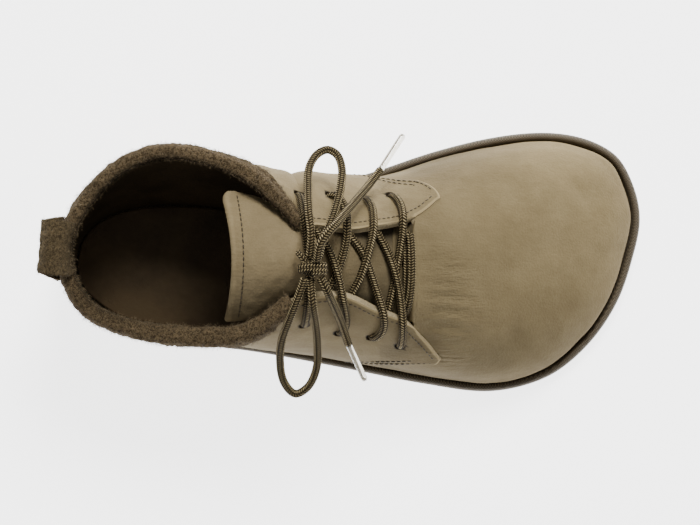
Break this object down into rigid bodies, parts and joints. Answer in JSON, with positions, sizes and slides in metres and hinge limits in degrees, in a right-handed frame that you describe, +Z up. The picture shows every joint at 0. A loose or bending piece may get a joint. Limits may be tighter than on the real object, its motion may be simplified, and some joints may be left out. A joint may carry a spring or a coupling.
{
  "type": "barefoot shoe",
  "caption": "Right ankle-high lace-up shoe in soft leather on a thin, flat, wide-toed rubber sole, with a padded collar and a tied bow.",
  "frame": {"origin": "on the outsole's flat bottom, halfway along its length", "axes": "+X towards the toe, +Y towards the big toe side, +Z up"},
  "size_m": [0.2705, 0.1211, 0.1064],
  "materials": {
    "outsole": "brown-grey rubber with a fine knurl",
    "insole": "dark brown lining leather",
    "upper": "olive taupe nubuck",
    "tongue": "olive taupe nubuck",
    "collar": "rough dark brown suede",
    "lace": "dark round braid with light flecks",
    "aglet": "clear plastic lace tip"
  },
  "bodies": {
    "root": {"outsole": "outsole", "insole": "insole", "upper": "upper", "tongue": "tongue", "collar_band": "collar", "pull_loop": "collar", "lace_bar": "lace", "lace_cross_front": "lace", "lace_cross_middle": "lace", "lace_cross_back": "lace", "lace_top": "lace", "lace_knot": "lace", "lace_loop_inner": "lace", "lace_loop_outer": "lace", "lace_end_inner": "lace", "lace_end_outer": "lace", "aglet_inner": "aglet", "aglet_outer": "aglet"}
  },
  "joints": []
}
